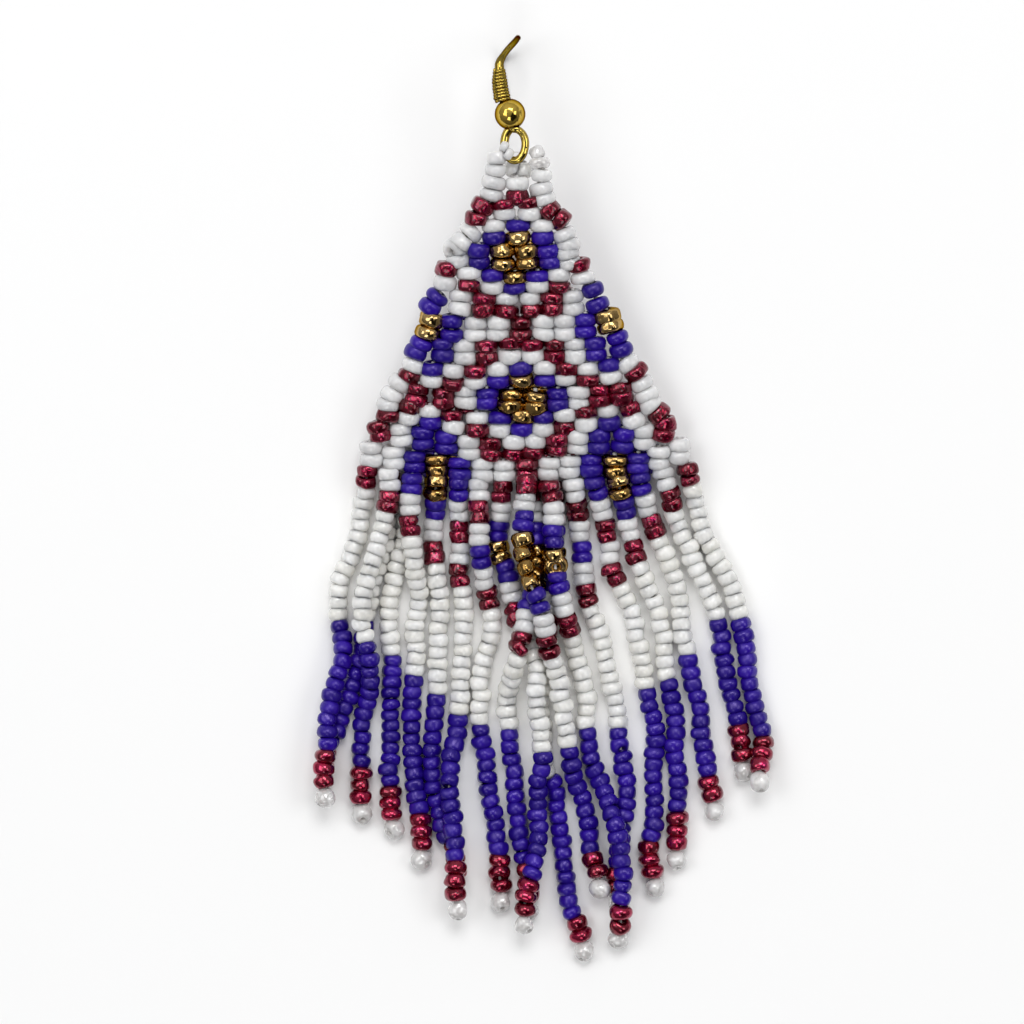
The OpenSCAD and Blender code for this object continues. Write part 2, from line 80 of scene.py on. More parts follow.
# strands: patterned kinds, whites, blues, reds, y of the first bead, length along Y,
# x at each station, height where it changes
STRANDS = [
  ["RR", 12, 11, 3, 2.8, 32.4,
   [-17.6, -18, -18.4, -19.5, -20.5, -20.4, -20, -20.7, -21.4, -21.6, -21.8, -21.6],
   [[0, 2.2], [4, 1.05], [15, 1.1], [20, 2.3], [28, 3.05], [33, 3.15]]],
  ["WWRR", 12, 11, 3, 2.4, 33.7,
   [-15.4, -15.5, -16.2, -17.1, -18, -18, -17.4, -17.2, -18, -18.2, -18.3, -18.3, -18.3],
   [[0, 3.25], [6, 3], [17, 3], [24, 1.05]]],
  ["BBWWRR", 13, 12, 3, 2, 37.9,
   [-13.1, -13.3, -13.2, -12.8, -12.5, -12.8, -12.8, -13.1, -13.2, -13.2, -13, -12.5, -12.2, -12],
   [[0, 3.25], [5, 3.2], [13, 1.05]]],
  ["GGBBWWRR", 11, 12, 3, 1.7, 40.5,
   [-10.8, -10.8, -11, -10.8, -10.4, -10.6, -10.6, -10.8, -11, -11.2, -11, -10.4, -10.2, -9.6, -9.6],
   [[0, 2.2], [4, 1.05]]],
  ["BBWWRRWWRR", 11, 12, 3, 1.5, 42.2,
   [-8.6, -8.5, -8.4, -8.5, -8, -8, -8.2, -8.4, -8.6, -9.1, -9.4, -9.2, -8.9, -8.8, -8.7, -8.7],
   [[0, 2.2], [4, 1.05], [24, 1.05], [31, 2.55], [36, 2.7], [40, 3.2], [43, 2.6]]],
  ["WWRRWWBBWWRR", 10, 11, 3, 1.4, 41.5,
   [-6.4, -6.4, -6.4, -6, -5.4, -5.2, -6.2, -6.4, -6.4, -5.8, -5.6, -5, -4.6, -4.4, -4.4],
   [[0, 2.2], [6, 2.45], [12, 1.05]]],
  ["RRWWBBGGBBWWRR", 12, 11, 3, 1.3, 43.5,
   [-4.2, -4.4, -4.6, -3.6, -3.1, -2, -0.9, -0.8, -0.4, -0.2, -0.6, -0.7, -0.6, -1.4, -2, -2.1],
   [[0, 2.2], [4, 1.05], [14, 1.05], [19, 2.65], [27, 2.75], [33, 1.8], [39, 3.15], [45, 3.05]]],
  ["RRWWBBGGGGBBWWRR", 8, 9, 2, 1.2, 39.9,
   [-1.8, -2.1, -2.2, -1.6, -0.4, 0.2, 1, 1.7, 2.1, 2.6, 3.4, 4.3, 4.6, 5.4, 5.4],
   [[0, 3.25], [5, 4], [9, 4.5], [12, 4.7], [21, 2.5], [27, 2.1], [31, 1.05], [36, 1.05], [40, 2.15]]],
  ["RRWWBBGGBBWWRR", 8, 15, 2, 1.3, 45.1,
   [0.6, 1, 1, 1.2, 2, 2.8, 3.6, 4.2, 4.2, 4.7, 5.8, 6.8, 7.6, 7.8, 7.6, 7.5, 7.5],
   [[0, 3.25], [6, 3.65], [12, 2.95], [17, 1.05], [29, 1.05], [34, 3], [42, 3.15], [46, 1.1]]],
  ["WWRRWWBBWWRR", 11, 12, 2, 1.4, 41.6,
   [2.8, 3.4, 3.6, 3.9, 4.6, 5.6, 6.2, 7, 7.4, 7.7, 8.2, 8, 7.4, 7.2, 7.4],
   [[0, 2.2], [4, 1.05]]],
  ["BBWWRRWWRR", 9, 13, 3, 1.6, 40.3,
   [5, 5.8, 6.3, 6.9, 8.4, 9.1, 9.8, 10.2, 11, 11, 10.9, 11.1, 10.4, 10.9, 11],
   [[0, 2.2], [4, 1.05]]],
  ["GGBBWWRR", 10, 11, 3, 1.8, 37.7,
   [7.4, 8.1, 8.8, 9.7, 11, 11.8, 12, 12.6, 13.1, 13, 13.4, 13.3, 13.2, 13.2],
   [[0, 2.2], [4, 1.05]]],
  ["BBWWRR", 10, 10, 2, 2.1, 33.2,
   [9.6, 10.4, 11.4, 12.6, 13.4, 13.8, 14.3, 15, 15.6, 15.9, 16.4, 17, 17],
   [[0, 2.2], [4, 1.05]]],
  ["WWRR", 10, 9, 3, 2.6, 29.7,
   [11.8, 12.6, 13.8, 15, 16.4, 17.4, 17.8, 18.4, 19.2, 19.6, 20],
   [[0, 2.2], [5, 1.05]]],
  ["RR", 12, 10, 3, 3.0, 31.0,
   [14.2, 15, 15.8, 17.3, 18.6, 19.4, 20.2, 20.4, 21.1, 21.8, 21.4, 21.4],
   [[0, 2.2], [4, 1.05], [26, 1.05], [31, 2.8]]],
  ["RR", 11, 11, 3, 2.5, 32.5,
   [-15.2, -15.4, -15.8, -16.6, -17.3, -17.9, -18.3, -19.2, -20.2, -21, -21.5, -21.5],
   [[0, 1.05]]],
  ["WWRR", 12, 12, 3, 2.1, 35.0,
   [-13, -13.4, -13.8, -14.6, -15.3, -15.4, -15.1, -15.2, -15.3, -15.3, -15.4, -15.2, -14.9],
   [[0, 1.05]]],
  ["RRWWBBGGGGBBWWRR", 7, 11, 3, 1.3, 42.4,
   [-1.4, -1.1, -0.8, -1, -1.5, -2.2, -2.9, -3.7, -3.5, -3.2, -2.9, -2.6, -2.3, -1.6, -1.5, -1.5],
   [[0, 1.1], [1, 1.1], [7, 2.35], [10, 2.35], [16, 3.6], [22, 1.05]]],
  ["RRWWBBGGBBWWRR", 12, 12, 2, 1.3, 46.3,
   [0.8, 1.1, 1, 0.8, 0.6, 0.4, 0.4, 0.3, 0.6, 0.8, 1.2, 1.4, 1.8, 2.1, 2.6, 3.8, 3.9],
   [[0, 1.05]]]
]
# beads over the triangle: x, y, z, diameter, length, direction of the hole
TOP = [
  [-4.90, 32.10, 8.35, 2.06, 0.95, -0.06, -1.00, -0.20],
  [-4.92, 33.20, 8.50, 1.80, 1.02, 0.10, -1.00, 0.00],
  [-3.92, 34.26, 9.20, 0.80, 0.62, 1.00, -0.45, 0.10],
  [-3.32, 33.88, 9.05, 0.76, 0.56, 1.00, -0.60, -0.35],
  [-0.75, 33.80, 7.90, 1.45, 1.00, 0.45, -1.00, 0.10],
  [-0.38, 32.78, 8.10, 2.06, 0.90, 0.15, -1.00, 0.00],
  [-0.10, 31.82, 8.25, 2.06, 0.90, 0.00, -1.00, -0.20]
]
# beads further back: middle, direction, diameter, length
BACK = [([-3.20, 32.40, 6.95], [0.35, -1, 0], 1.10, 1.25), ([-2.02, 32.25, 6.85], [-0.2, -1, 0], 1.06, 1.30)]
# the bend of the hook: x, y, angle round the bend
ARC = [
  [-4.40, 43.06, -90],
  [-4.19, 43.90, -75],
  [-3.69, 44.57, -55],
  [-3.08, 45.18, -35],
  [-2.72, 45.47, -17],
  [-2.62, 45.47, 0],
  [-2.66, 45.28, 12],
  [-2.99, 44.69, 29],
  [-3.52, 43.93, 47],
  [-3.97, 43.19, 65],
  [-4.24, 42.61, 81],
  [-4.33, 42.02, 90]
]
# the loop: x, y, drop below the front wire
LOOP = [
  [-4.02, 38.61, 0.00],
  [-3.07, 36.22, 0.05],
  [-2.56, 36.00, 0.10],
  [-2.13, 35.60, 0.15],
  [-1.85, 34.95, 0.20],
  [-1.82, 34.26, 0.25],
  [-2.07, 33.56, 0.30],
  [-2.58, 33.09, 0.40],
  [-3.17, 33.05, 0.50],
  [-3.66, 33.40, 0.60],
  [-3.89, 33.98, 0.60],
  [-3.88, 34.65, 0.55],
  [-3.74, 35.35, 0.50],
  [-3.60, 35.76, 0.45]
]
# TABLES END

# ---------------------------------------------------------------- the rules that place the beads


def smooth(a, b, c, d, t):
    return 0.5 * (2 * b + (c - a) * t + (2 * a - 5 * b + 4 * c - d) * t * t + (3 * b - a - 3 * c + d) * t ** 3)


def at(values, v):
    n = len(values)
    i = max(0, min(math.floor(v / STATION), n - 2))
    t = v / STATION - i
    return smooth(values[max(i - 1, 0)], values[i], values[i + 1], values[min(i + 2, n - 1)], t)


def height(places, v):
    if v <= places[0][0]:
        return places[0][1]
    for a, b in zip(places, places[1:]):
        if v <= b[0]:
            t = (v - a[0]) / (b[0] - a[0])
            return a[1] + (b[1] - a[1]) * t * t * (3 - 2 * t)
    return places[-1][1]


# the ends of two strands that lie hidden under their neighbours: distances along the strand, sideways in mm
TUCKED = {3: ([34.8, 36.5, 38.5, 41.0], [0, 1.15, 0.9, 0.8]), 15: ([24.0, 29.0], [0, -0.42]),
          18: ([18.0, 21.5, 28.4, 30.3], [0, -0.7, -0.85, 0])}


def strand_pt(s, v):
    x = at(s[6], v)
    for n, (where, dx) in TUCKED.items():
        if s is STRANDS[n]:
            x += np.interp(v, where, dx)
    return np.array([x, s[4] - v, height(s[7], v)])


PITCH = dict(T=1.10, W=1.17, B=1.165, R=1.20, C=1.50)
# how much closer the patterned and white beads of each strand sit
CLOSER = [0.955, 0.94, 0.945, 0.94, 0.94, 0.975, 0.94, 0.95, 0.985, 0.965, 1.0, 1.0, 0.985, 0.99, 0.99,
          0.99, 1.07, 0.955, 0.99]
# the patterned beads of the uppermost strand, along Y in mm
UPPER = [1.75, 0.95, 0.10, -0.75, -1.70, -2.70, -4.00, -5.40, -6.80, -8.20, -9.60, -10.75, -11.95, -12.90, -13.95, -15.05]


def strand_beads(s):
    """Kind, middle, direction and spacing of every bead of a strand."""
    k = "T" * len(s[0]) + "W" * s[1] + "B" * s[2] + "R" * s[3] + "C"
    size = {q: PITCH[q] * (CLOSER[STRANDS.index(s)] if q in "TW" else 1) for q in PITCH}
    size["C"] = 2.0
    if s is STRANDS[8]:
        size["R"] *= 1.25
    gaps = [(size[a] + size[b]) / 2 for a, b in zip(k, k[1:])]
    reach = s[5] - (0.5 if s is STRANDS[15] else 0)
    length = sum(np.linalg.norm(strand_pt(s, reach * (i + 1) / 160) - strand_pt(s, reach * i / 160)) for i in range(160))
    f = length / sum(gaps)
    v, places = 0.0, [0.0]
    for step in gaps:
        g = step
        for _ in range(4):
            g *= step * f / np.linalg.norm(strand_pt(s, v + g) - strand_pt(s, v))
        v += g
        places.append(v)
    if s is STRANDS[7]:
        whites = places[15 + 1:]
        first, last = s[4] - UPPER[-1], places[15 + s[1] + 1]
        room = (last - first) / (places[15 + s[1] + 1] - places[15])
        places = [s[4] - y for y in UPPER] + [first + (w - places[15]) * room if w < last else w for w in whites]
    out = []
    for i, v in enumerate(places):
        u = strand_pt(s, v + 0.2) - strand_pt(s, v - 0.2)
        kind = s[0][i] if k[i] == "T" else k[i]
        d = PATTERN_D if k[i] == "T" else RED_D if k[i] == "R" else TIP_D if k[i] == "C" else FRINGE_D
        h = PITCH[k[i]] * f * (1.18 if s is STRANDS[7] and kind == "G" else 0.93 if s is STRANDS[7] and k[i] == "T" else 1)
        if s is STRANDS[7] and kind == "G":
            d *= 0.95 if i == 6 else 0.76
        out.append(dict(kind=kind, c=strand_pt(s, v), u=u / np.linalg.norm(u), d=d, h=h))
    return out


def row_beads(i):
    """The pairs of one row of the triangle, as (upper bead, lower bead)."""
    r = ROWS[i]
    rad = math.radians
    above = ROWS[i - 1][3] - r[3] if i > 0 else 9
    below = r[3] - ROWS[i + 1][3] if i < 12 else 9
    q = min(above, below) / 2 / math.cos(rad(RAMP))
    out = []
    for j in range(r[0]):
        s = -1 + 2 * j / (r[0] - 1)
        y = r[3] + (r[4] if s < 0 else r[5]) * s * s
        c = np.array([r[1] + (r[2] - r[1]) * j / (r[0] - 1), y, LOW_ROW_Z + (y - ROWS[12][3]) * math.tan(rad(RAMP))])
        lean = rad((-r[6] if s < 0 else r[7]) * abs(s) ** 6)
        u = np.array([math.sin(lean), -math.cos(lean) * math.cos(rad(RAMP)), -math.cos(lean) * math.sin(rad(RAMP))])
        out.append((dict(kind=r[8][j], c=c - u * q / 2, u=u, d=PANEL_D, h=q),
                    dict(kind=r[9][j], c=c + u * q / 2, u=u, d=PANEL_D, h=q)))
    return out


# where the outer pairs of each row lie: x, y of the upper left, lower left, upper right and lower right bead
EDGES = [
    [-4.95, 30.90, -5.15, 29.80, -0.30, 30.30, 0.00, 29.40],
    [-6.05, 28.72, -6.65, 27.40, 0.60, 28.20, 1.75, 27.35],
    [-7.25, 26.10, -8.15, 25.25, 1.95, 25.90, 2.40, 24.85],
    [-8.85, 24.45, -8.55, 23.40, 2.25, 24.05, 2.45, 23.25],
    [-9.55, 22.60, -9.70, 21.20, 3.45, 22.95, 3.75, 21.75],
    [-10.60, 19.80, -11.20, 18.90, 4.80, 20.50, 5.30, 19.10],
    [-11.15, 17.65, -11.50, 16.40, 6.20, 18.05, 6.50, 16.95],
    [-12.15, 15.40, -12.65, 14.45, 7.20, 15.90, 7.60, 14.75],
    [-13.05, 13.15, -13.35, 12.25, 8.20, 13.45, 9.00, 12.55],
    [-14.35, 11.40, -15.05, 10.30, 9.65, 11.30, 10.10, 10.30],
    [-15.45, 9.35, -15.55, 8.30, 10.50, 9.45, 11.45, 8.45],
    [-16.40, 7.20, -16.25, 6.35, 11.95, 7.55, 11.80, 6.35],
    [-16.95, 5.10, -16.90, 3.90, 13.35, 5.45, 13.35, 4.25],
]

# how far the pairs of each row are pushed sideways and towards the fringe, in 0.1 mm
PUSHED = [
    ([0, -3, -1], [0, 1, 0]),
    ([0, 1, -1, -1], [0, 0, -1, 0]),
    ([0, 3, 2, 1, 0], [0, 0, -1, -1, 0]),
    ([0, 3, 4, 5, 4, 0], [0, 0, 0, 0, 0, 0]),
    ([0, 0, 1, 1, 0, -1, 0], [0, 0, 1, 3, 2, 3, 0]),
    ([0, 3, 3, 2, 3, 1, 0, 0], [0, 0, 1, 2, 2, 1, 2, 0]),
    ([0, 0, 2, 1, 2, 2, 0, -1, 0], [0, 1, 1, 0, -1, -1, 0, 1, 0]),
    ([0, 3, 3, 1, 2, 1, 1, -1, -3, 0], [0, 0, 1, 0, -2, -2, -2, 0, 2, 0]),
    ([0, -1, -3, -4, -3, -3, -2, -3, -4, -2, 0], [0, 2, 1, 0, -3, -4, -3, -3, 0, 0, 0]),
    ([0, -1, 3, 2, 1, 3, 4, 4, 2, 0, -1, 0], [0, 1, 2, -1, -1, 0, 1, 0, 0, 0, 0, 0]),
    ([0, 1, 1, 2, 3, 4, 3, 0, 0, -1, -2, -1, 0], [0, -2, 0, 1, 3, 2, 0, 1, 0, -1, 0, 1, 0]),
    ([0, 0, 0, 1, 2, 1, 2, 1, 1, 0, 0, 2, 1, 0], [0, -1, -2, -1, 1, 1, 0, -2, -3, -3, -2, 1, 2, 0]),
    ([-2, -2, -3, -2, -1, 0, -1, 0, 0, -2, -2, 0, 2, 1, 0], [0, -1, 0, 0, 1, 1, 1, 0, -1, -2, -2, 1, 3, 2, 0]),
]


def pressed_row(i):
    """The same pairs pushed together as they lie: each bead reaches halfway to the row above or below."""
    pairs = row_beads(i)
    n = len(pairs)
    r = ROWS[i]
    slope = math.tan(math.radians(RAMP))
    cosr = math.cos(math.radians(RAMP))
    above = (ROWS[i - 1][3] - r[3]) if i > 0 else 2.2
    below = (r[3] - ROWS[i + 1][3]) if i < 12 else 2.3
    e = np.array(EDGES[i]).reshape(4, 2)
    new = []
    for j, pair in enumerate(pairs):
        s = -1 + 2 * j / (n - 1)
        mid = (pair[0]["c"] + pair[1]["c"]) / 2
        u = pair[0]["u"]
        row = []
        for k, q in enumerate(pair):
            span = (above, below)[k] / 2 / cosr
            c = mid + u * (-1, 1)[k] * span / 2
            row.append([c, span])
        new.append(row)
    shift = [[e[k + (0 if side < 0 else 2)] - new[0 if side < 0 else -1][k][0][:2] for k in (0, 1)] for side in (-1, 1)]
    out = []
    for j, row in enumerate(new):
        s = -1 + 2 * j / (n - 1)
        w = abs(s) ** 4
        cs = []
        for k in (0, 1):
            c = row[k][0].copy()
            c[:2] += shift[0 if s < 0 else 1][k] * w
            c[:2] += np.array([PUSHED[i][0][j], -PUSHED[i][1][j]]) * 0.1
            c[2] = LOW_ROW_Z + (c[1] - ROWS[12][3]) * slope
            cs.append(c)
        u = cs[1] - cs[0]
        gap = np.linalg.norm(u)
        u = u / gap
        pair = []
        for k in (0, 1):
            h = min(max(row[k][1] * 1.15, gap * 1.05, 1.18), 1.44)
            pair.append(dict(kind=pairs[j][k]["kind"], c=cs[k], u=u, d=PANEL_D * 1.09, h=h))
        out.append(tuple(pair))
    return out


# ---------------------------------------------------------------- meshes


class Build:
    """Gathers rings of faces and turns them into one mesh object."""

    def __init__(self):
        self.v, self.f, self.m, self.a, self.n = [], [], [], [], 0
        self.materials = []

    def slot(self, material):
        if material not in self.materials:
            self.materials.append(material)
        return self.materials.index(material)

    def add(self, verts, faces, material, attr):
        verts = np.asarray(verts, float)
        faces = np.asarray(faces, int)
        self.v.append(verts)
        self.f.append(faces + self.n)
        self.m.append(np.full(len(faces), self.slot(material)))
        attr = np.asarray(attr, float)
        self.a.append(np.broadcast_to(attr, (len(verts), 4)) if attr.ndim == 1 else attr)
        self.n += len(verts)

    def object(self, name):
        v = (np.concatenate(self.v) + np.array(SHIFT)) * MM
        f = np.concatenate(self.f)
        m = np.concatenate(self.m).astype(np.int32)
        me = bpy.data.meshes.new(name)
        me.vertices.add(len(v))
        me.vertices.foreach_set("co", v.astype(np.float32).ravel())
        me.loops.add(len(f) * 4)
        me.loops.foreach_set("vertex_index", f.astype(np.int32).ravel())
        me.polygons.add(len(f))
        me.polygons.foreach_set("loop_start", np.arange(0, len(f) * 4, 4, dtype=np.int32))
        me.polygons.foreach_set("material_index", m)
        me.polygons.foreach_set("use_smooth", np.ones(len(f), bool))
        for material in self.materials:
            me.materials.append(material)
        me.update(calc_edges=True)
        me.validate()
        a = me.color_attributes.new("bead", "FLOAT_COLOR", "POINT")
        a.data.foreach_set("color", np.concatenate(self.a).astype(np.float32).ravel())
        o = bpy.data.objects.new(name, me)
        bpy.context.scene.collection.objects.link(o)
        return o


def grid_faces(rings, around, closed_v=False):
    """Quads of a sheet of rings, each with `around` points and closed round."""
    i = np.arange(rings if closed_v else rings - 1)[:, None]
    j = np.arange(around)[None, :]
    i2, j2 = (i + 1) % rings, (j + 1) % around
    q = np.stack([i * around + j, i * around + j2, i2 * around + j2, i2 * around + j], axis=-1)
    return q.reshape(-1, 4)


SEG, PRO = 24, 14


def cross_section(hole, belly, power):
    """Closed section of a bead of diameter 1 and length 1: radius, height and the way that it faces."""
    th = np.radians(np.concatenate([np.linspace(-90, 90, 11), [150, 180, 210]]))
    mid = 0.5 - belly
    c, s = np.cos(th), np.sin(th)
    p = np.where(c >= -0.01, power, 3.0)
    half = np.where(c >= -0.01, belly, mid - hole)
    r = mid + half * np.sign(c) * np.abs(c) ** (2 / p)
    z = 0.5 * np.sign(s) * np.abs(s) ** (2 / p)
    return r, z, c, s


def frame_of(u, spin):
    """Two directions across u, turned by spin."""
    a = np.array([0.0, 0.0, 1.0]) if abs(u[2]) < 0.8 else np.array([1.0, 0.0, 0.0])
    e1 = np.cross(u, a)
    e1 /= np.linalg.norm(e1)
    e2 = np.cross(u, e1)
    c, s = math.cos(spin), math.sin(spin)
    return e1 * c + e2 * s, -e1 * s + e2 * c


BEAD_FACES = grid_faces(PRO, SEG, closed_v=True)
PHI = np.linspace(0, 2 * np.pi, SEG, endpoint=False)
# how each kind of bead is shaped: roundness of its side, squareness of its profile, tilt in degrees,
# lumps in mm, lobes round it, how much the lobes stand out
SHAPE = {
    "W": (0.27, 2.55, 4.0, 0.034, 3, 0.014),
    "B": (0.28, 2.50, 3.6, 0.030, 5, 0.012),
    "R": (0.25, 3.00, 5.0, 0.066, 6, 0.034),
    "G": (0.26, 2.80, 5.0, 0.055, 5, 0.030),
    "C": (0.38, 2.00, 8.0, 0.060, 3, 0.020),
    "w": (0.29, 2.30, 6.5, 0.054, 3, 0.020),
    "b": (0.29, 2.30, 6.5, 0.050, 5, 0.018),
    "r": (0.30, 2.30, 6.0, 0.052, 5, 0.022),
}


def bead(b, rng, material, c, u, d, h, kind="W", hole=0.17, turn=None):
    """One seed bead: a short tube with round lips, each a little lumpy and out of true."""
    belly, power, tilt, lump, lobes, stand = SHAPE[kind]
    e1, e2 = frame_of(u, rng.uniform(0, 6.28))
    t = np.radians(rng.normal(0, tilt, 2))
    u = u + e1 * t[0] + e2 * t[1]
    u = u / np.linalg.norm(u)
    if turn:
        side, up = (math.radians(q) for q in turn)
        a = math.atan2(u[1], u[0]) + side
        u = np.array([math.cos(a) * math.cos(up), math.sin(a) * math.cos(up), math.sin(up)])
    e1, e2 = frame_of(u, rng.uniform(0, 6.28))
    if turn:
        hole = 0.09 if kind == "C" else 0.12
    r, z, nr, nz = cross_section(hole * rng.uniform(0.9, 1.1), belly * rng.uniform(0.9, 1.08), power * rng.uniform(0.94, 1.08))
    r, z, nr, nz = (q[:, None] for q in (r, z, nr, nz))
    phi = PHI[None, :]
    k = rng.uniform(-1, 1, 8)
    oval = 1 + 0.022 * k[0] * np.cos(2 * phi) + stand * np.cos(lobes * phi + 3 * k[2])
    wedge = 1 + 0.10 * k[5] * np.cos(phi + 3 * k[6])
    rad = d * r * oval * (1 + 0.07 * k[7] * z)
    ax = h * z * wedge
    flat = (rad * np.cos(phi))[..., None] * e1 + (rad * np.sin(phi))[..., None] * e2 + (ax * np.ones_like(phi))[..., None] * u
    out = np.clip((r - 0.2) / 0.3, 0, 1)
    way = (nr * np.cos(phi))[..., None] * e1 + (nr * np.sin(phi))[..., None] * e2 + (nz * np.ones_like(phi))[..., None] * u
    swell = 0
    for m in range(3):
        wave = rng.normal(0, 1, 3)
        wave *= rng.uniform(3.2, 6.5) / np.linalg.norm(wave)
        swell = swell + np.sin(flat @ wave + rng.uniform(0, 6.28))
    p = c + flat + way * (lump * 0.58 * swell * out)[..., None]
    attr = np.empty((PRO, SEG, 4))
    attr[..., 0] = rng.uniform()
    attr[..., 1] = rng.uniform()
    # how far out from the hole: the materials paint shade round the hole from it, and the lumps grow with it
    attr[..., 2] = out * np.ones_like(phi)
    attr[..., 3] = 1
    b.add(p.reshape(-1, 3), BEAD_FACES, material, attr.reshape(-1, 4))


def cap_faces(n, first):
    """Quads that close a ring of n points, n even."""
    return np.array([[first + i, first + i + 1, first + n - 2 - i, first + n - 1 - i] for i in range(n // 2 - 1)])


def sweep(b, material, pts, radius, around=10, attr=(0.5, 0.5, 0.5, 1), cap=True, first=None, radii=None):
    """A round tube along pts, closed at its ends."""
    pts = np.asarray(pts, float)
    n = len(pts)
    t = np.gradient(pts, axis=0)
    t /= np.linalg.norm(t, axis=1)[:, None]
    e = np.array(first, float) if first is not None else frame_of(t[0], 0)[0]
    rings = []
    radii = np.full(n, radius) if radii is None else np.asarray(radii)
    for i in range(n):
        e = e - t[i] * (e @ t[i])
        e /= np.linalg.norm(e)
        w = np.cross(t[i], e)
        ph = np.linspace(0, 2 * np.pi, around, endpoint=False)[:, None]
        rings.append(pts[i] + radii[i] * (np.cos(ph) * e + np.sin(ph) * w))
    if cap:
        def shrunk(k, ring, step):
            mid = pts[k]
            return [mid + t[k] * step * radii[k] * s + (ring - mid) * m for s, m in ((0.22, 0.9), (0.38, 0.62), (0.42, 0.25))]
        rings = shrunk(0, rings[0], -1)[::-1] + rings + shrunk(-1, rings[-1], 1)
    v = np.concatenate(rings)
    faces = grid_faces(len(rings), around)
    if cap:
        faces = np.concatenate([faces, cap_faces(around, 0)[:, ::-1], cap_faces(around, (len(rings) - 1) * around)])
    b.add(v, faces, material, attr)


def catmull(pts, per):
    pts = np.asarray(pts, float)
    out = []
    n = len(pts)
    for i in range(n - 1):
        a, p, q, r = pts[max(i - 1, 0)], pts[i], pts[i + 1], pts[min(i + 2, n - 1)]
        for s in range(per):
            out.append(smooth(a, p, q, r, s / per))
    out.append(pts[-1])
    return np.array(out)


# ---------------------------------------------------------------- materials


def new_material(name):
    m = bpy.data.materials.new(name)
    m.use_nodes = True
    nt = m.node_tree
    nt.nodes.clear()
    out = nt.nodes.new("ShaderNodeOutputMaterial")
    p = nt.nodes.new("ShaderNodeBsdfPrincipled")
    nt.links.new(p.outputs[0], out.inputs[0])
    return m, nt, p


def add_attr(nt):
    a = nt.nodes.new("ShaderNodeAttribute")
    a.attribute_type = "GEOMETRY"
    a.attribute_name = "bead"
    s = nt.nodes.new("ShaderNodeSeparateColor")
    nt.links.new(a.outputs["Color"], s.inputs[0])
    return s


def noise(nt, scale, detail=2.0, rough=0.5, distortion=0.0):
    tc = nt.nodes.new("ShaderNodeTexCoord")
    n = nt.nodes.new("ShaderNodeTexNoise")
    n.inputs["Scale"].default_value = scale
    n.inputs["Detail"].default_value = detail
    n.inputs["Roughness"].default_value = rough
    n.inputs["Distortion"].default_value = distortion
    nt.links.new(tc.outputs["Object"], n.inputs["Vector"])
    return n


def ramp(nt, src, stops):
    r = nt.nodes.new("ShaderNodeValToRGB")
    nt.links.new(src, r.inputs[0])
    e = r.color_ramp.elements
    while len(e) < len(stops):
        e.new(0.5)
    for k, (pos, col) in zip(e, stops):
        k.position = pos
        k.color = (*col, 1) if len(col) == 3 else col
    return r


def mix(nt, fac, a, b, kind="MIX"):
    m = nt.nodes.new("ShaderNodeMix")
    m.data_type = "RGBA"
    m.blend_type = kind
    for sock, val in ((m.inputs[0], fac), (m.inputs[6], a), (m.inputs[7], b)):
        if isinstance(val, bpy.types.NodeSocket):
            nt.links.new(val, sock)
        elif isinstance(val, (int, float)):
            sock.default_value = val
        else:
            sock.default_value = (*val, 1)
    return m.outputs[2]


def maths(nt, op, a, b=0.0, c=0.0):
    m = nt.nodes.new("ShaderNodeMath")
    m.operation = op
    for sock, val in ((m.inputs[0], a), (m.inputs[1], b), (m.inputs[2], c)):
        if isinstance(val, bpy.types.NodeSocket):
            nt.links.new(val, sock)
        else:
            sock.default_value = val
    return m.outputs[0]


def bump(nt, p, src, strength, distance):
    b = nt.nodes.new("ShaderNodeBump")
    b.inputs["Strength"].default_value = strength
    b.inputs["Distance"].default_value = distance
    nt.links.new(src, b.inputs["Height"])
    nt.links.new(b.outputs[0], p.inputs["Normal"])


def white_glass(name, tints, rough, coat):
    """Opaque white glass: milky, with tint from bead to bead and painted shade on the lips round the hole."""
    m, nt, p = new_material(name)
    s = add_attr(nt)
    col = ramp(nt, s.outputs[0], [(i / (len(tints) - 1), t) for i, t in enumerate(tints)]).outputs[0]
    # painted shade: the colour darker towards the hole and the lips where the beads meet, standing in for the shade in
    # those recesses
    painted_hole_shade = ramp(nt, s.outputs[2], [(0.0, (0.74, 0.74, 0.74)), (0.35, (0.98, 0.98, 0.98)), (1.0, (1, 1, 1))]).outputs[0]
    col = mix(nt, 1.0, col, painted_hole_shade, "MULTIPLY")
    n = noise(nt, 750.0, 2.0, 0.55, 0.6)
    cloud = ramp(nt, n.outputs[0], [(0.34, (0.86, 0.87, 0.88)), (0.5, (0.98, 0.98, 0.98)), (0.66, (1.06, 1.05, 1.04))]).outputs[0]
    col = mix(nt, 1.0, col, cloud, "MULTIPLY")
    nt.links.new(col, p.inputs["Base Color"])
    rr = ramp(nt, s.outputs[1], [(0, (rough - 0.06,) * 3), (1, (rough + 0.08,) * 3)]).outputs[0]
    nt.links.new(rr, p.inputs["Roughness"])
    p.inputs["Coat Weight"].default_value = coat
    p.inputs["Specular IOR Level"].default_value = 0.35
    p.inputs["Coat Roughness"].default_value = 0.10
    p.inputs["IOR"].default_value = 1.5
    p.inputs["Subsurface Weight"].default_value = 1.0
    p.inputs["Subsurface Radius"].default_value = (1.0, 0.97, 0.92)
    p.inputs["Subsurface Scale"].default_value = 0.0018
    bump(nt, p, noise(nt, 1500.0, 2.0, 0.5, 0.6).outputs[0], 0.8, 0.00010)
    return m


